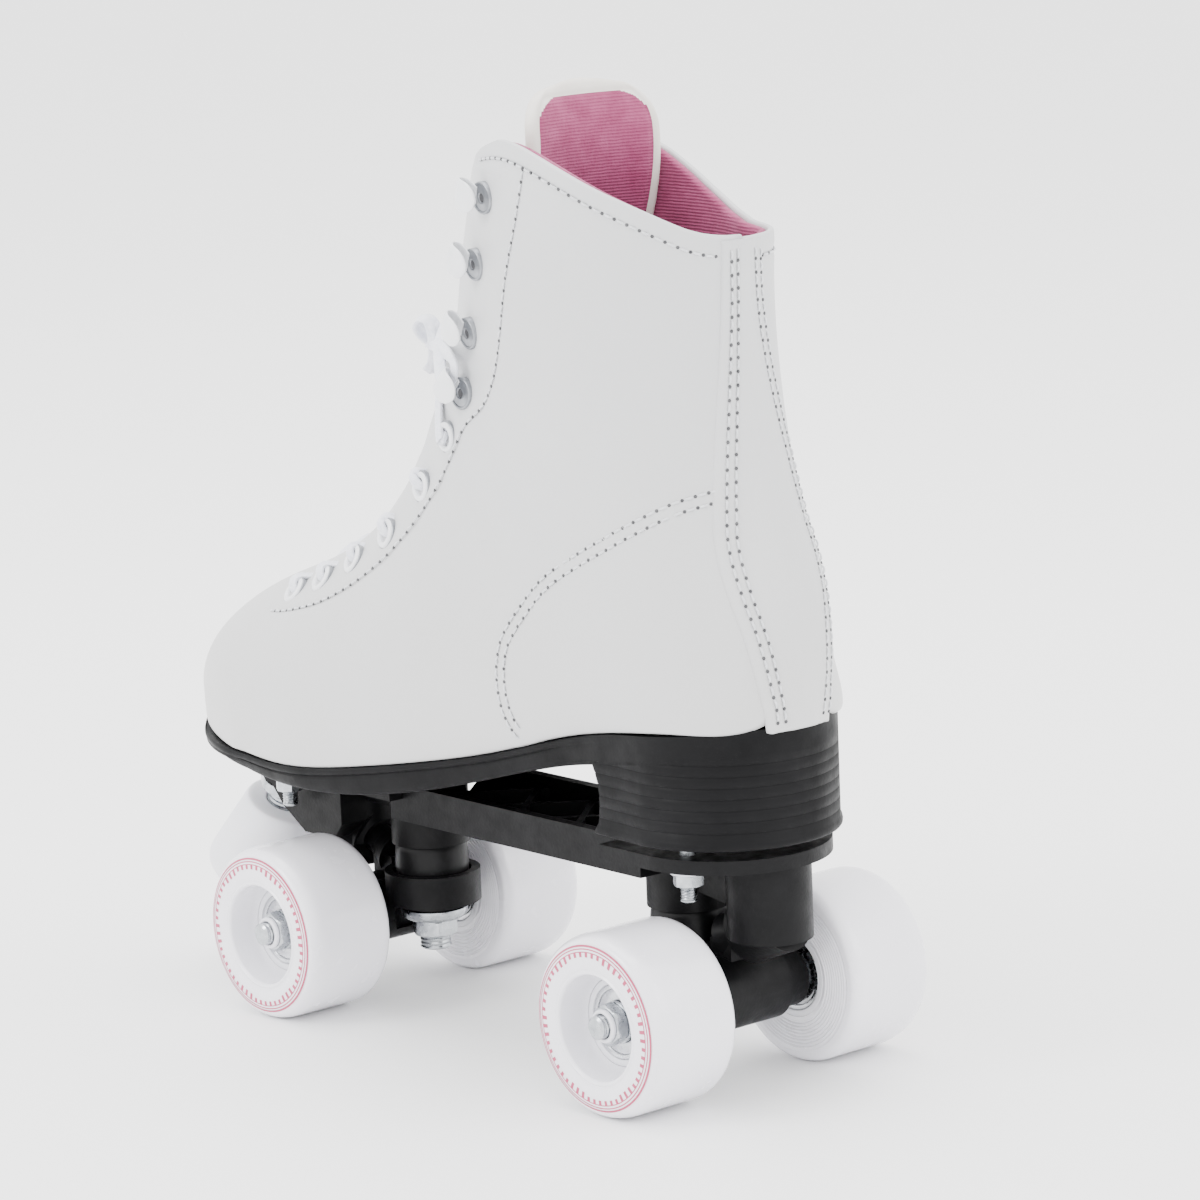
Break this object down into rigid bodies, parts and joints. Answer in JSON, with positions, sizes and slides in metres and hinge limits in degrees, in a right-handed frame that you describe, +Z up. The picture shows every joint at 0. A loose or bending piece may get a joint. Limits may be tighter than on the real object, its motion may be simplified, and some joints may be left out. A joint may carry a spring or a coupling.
{
  "type": "quad roller skate",
  "caption": "Lace-up boot on a plate with two cushion-sprung steering trucks, ball-bearing wheels and a screw-in toe stop.",
  "frame": {"origin": "on the floor, under the middle of the skate's bounding box", "axes": "+X towards the toe, +Y to the skate's left (outer side of a left foot), +Z up"},
  "size_m": [0.2758, 0.1096, 0.2885],
  "materials": {
    "white_leather": "smooth coated leather, satin",
    "pink_lining": "brushed knit lining",
    "tongue_padding": "padded tongue, white outside and ribbed pink inside",
    "counter_board": "stiff fibre board",
    "insole_foam": "foam insole with fabric top",
    "black_sole": "moulded rubber, satin",
    "black_nylon": "moulded nylon, satin",
    "black_cushion": "moulded rubber",
    "white_wheel": "cast urethane, semi-gloss",
    "wheel_hub": "moulded nylon hub",
    "white_stop": "moulded rubber, satin",
    "zinc_steel": "zinc plated",
    "bearing_steel": "ground and stamped steel",
    "white_enamel": "white enamel on steel",
    "white_lace": "flat woven lace",
    "lace_tip": "clear plastic tip"
  },
  "bodies": {
    "root": {"back_strip": "white_leather", "cushion_lower_front": "black_cushion", "cushion_lower_rear": "black_cushion", "cushion_upper_front": "black_cushion", "cushion_upper_rear": "black_cushion", "cushion_washer_front": "zinc_steel", "cushion_washer_rear": "zinc_steel", "eyelets": "white_enamel", "heel_block": "black_sole", "heel_counter": "counter_board", "hooks": "white_enamel", "insole": "insole_foam", "kingpin_front": "zinc_steel", "kingpin_nut_front": "zinc_steel", "kingpin_nut_rear": "zinc_steel", "kingpin_rear": "zinc_steel", "lace": "white_lace", "lace_bow": "white_lace", "lace_tail_lower": "white_lace", "lace_tail_upper": "white_lace", "lace_tips": "lace_tip", "lining": "pink_lining", "outsole": "black_sole", "pivot_cup_front": "black_cushion", "pivot_cup_rear": "black_cushion", "plate": "black_nylon", "plate_bolts": "zinc_steel", "plate_nuts": "zinc_steel", "toe_stop_nut": "zinc_steel", "tongue": "tongue_padding", "upper": "white_leather"},
    "toe_stop": {"toe_stop_pad": "white_stop", "toe_stop_stem": "zinc_steel"},
    "truck_front": {"hanger_front": "black_nylon", "axle_front": "zinc_steel", "axle_nuts_front": "zinc_steel", "axle_washers_front": "zinc_steel", "bearing_inner_rings_front": "bearing_steel"},
    "wheel_front_left": {"tyre_front_left": "white_wheel", "hub_front_left": "wheel_hub", "bearing_rings_front_left": "bearing_steel"},
    "balls_front_left": {"bearing_balls_front_left": "bearing_steel"},
    "wheel_front_right": {"tyre_front_right": "white_wheel", "hub_front_right": "wheel_hub", "bearing_rings_front_right": "bearing_steel"},
    "balls_front_right": {"bearing_balls_front_right": "bearing_steel"},
    "truck_rear": {"hanger_rear": "black_nylon", "axle_rear": "zinc_steel", "axle_nuts_rear": "zinc_steel", "axle_washers_rear": "zinc_steel", "bearing_inner_rings_rear": "bearing_steel"},
    "wheel_rear_left": {"tyre_rear_left": "white_wheel", "hub_rear_left": "wheel_hub", "bearing_rings_rear_left": "bearing_steel"},
    "balls_rear_left": {"bearing_balls_rear_left": "bearing_steel"},
    "wheel_rear_right": {"tyre_rear_right": "white_wheel", "hub_rear_right": "wheel_hub", "bearing_rings_rear_right": "bearing_steel"},
    "balls_rear_right": {"bearing_balls_rear_right": "bearing_steel"}
  },
  "joints": [
    {"name": "truck_steer_front", "type": "hinge", "parent": "root", "child": "truck_front", "pos_m": [0.03391, 0, 0.036], "axis": [0.9285, 0, 0.3714], "range_deg": [-8, 8], "stiffness_Nm_per_rad": 30, "deforming": ["cushion_upper_front", "cushion_lower_front"]},
    {"name": "wheel_spin_front_left", "type": "hinge", "parent": "truck_front", "child": "wheel_front_left", "pos_m": [0.05271, 0.0388, 0.027], "axis": [0, 1, 0], "continuous": true},
    {"name": "ball_orbit_front_left", "type": "hinge", "parent": "truck_front", "child": "balls_front_left", "pos_m": [0.05271, 0.0388, 0.027], "axis": [0, 1, 0], "continuous": true},
    {"name": "wheel_spin_front_right", "type": "hinge", "parent": "truck_front", "child": "wheel_front_right", "pos_m": [0.05271, -0.0388, 0.027], "axis": [0, 1, 0], "continuous": true},
    {"name": "ball_orbit_front_right", "type": "hinge", "parent": "truck_front", "child": "balls_front_right", "pos_m": [0.05271, -0.0388, 0.027], "axis": [0, 1, 0], "continuous": true},
    {"name": "truck_steer_rear", "type": "hinge", "parent": "root", "child": "truck_rear", "pos_m": [-0.08609, 0, 0.036], "axis": [-0.9285, 0, 0.3714], "range_deg": [-8, 8], "stiffness_Nm_per_rad": 30, "deforming": ["cushion_upper_rear", "cushion_lower_rear"]},
    {"name": "wheel_spin_rear_left", "type": "hinge", "parent": "truck_rear", "child": "wheel_rear_left", "pos_m": [-0.10489, 0.0388, 0.027], "axis": [0, 1, 0], "continuous": true},
    {"name": "ball_orbit_rear_left", "type": "hinge", "parent": "truck_rear", "child": "balls_rear_left", "pos_m": [-0.10489, 0.0388, 0.027], "axis": [0, 1, 0], "continuous": true},
    {"name": "wheel_spin_rear_right", "type": "hinge", "parent": "truck_rear", "child": "wheel_rear_right", "pos_m": [-0.10489, -0.0388, 0.027], "axis": [0, 1, 0], "continuous": true},
    {"name": "ball_orbit_rear_right", "type": "hinge", "parent": "truck_rear", "child": "balls_rear_right", "pos_m": [-0.10489, -0.0388, 0.027], "axis": [0, 1, 0], "continuous": true},
    {"name": "toe_stop_height", "type": "slide", "parent": "root", "child": "toe_stop", "axis": [0.4384, 0, -0.8988], "range_m": [-0.003, 0.004]}
  ],
  "couplings": [
    {"joint": "ball_orbit_front_left", "follows": "wheel_spin_front_left", "ratio": 0.63},
    {"joint": "ball_orbit_front_right", "follows": "wheel_spin_front_right", "ratio": 0.63},
    {"joint": "ball_orbit_rear_left", "follows": "wheel_spin_rear_left", "ratio": 0.63},
    {"joint": "ball_orbit_rear_right", "follows": "wheel_spin_rear_right", "ratio": 0.63}
  ]
}
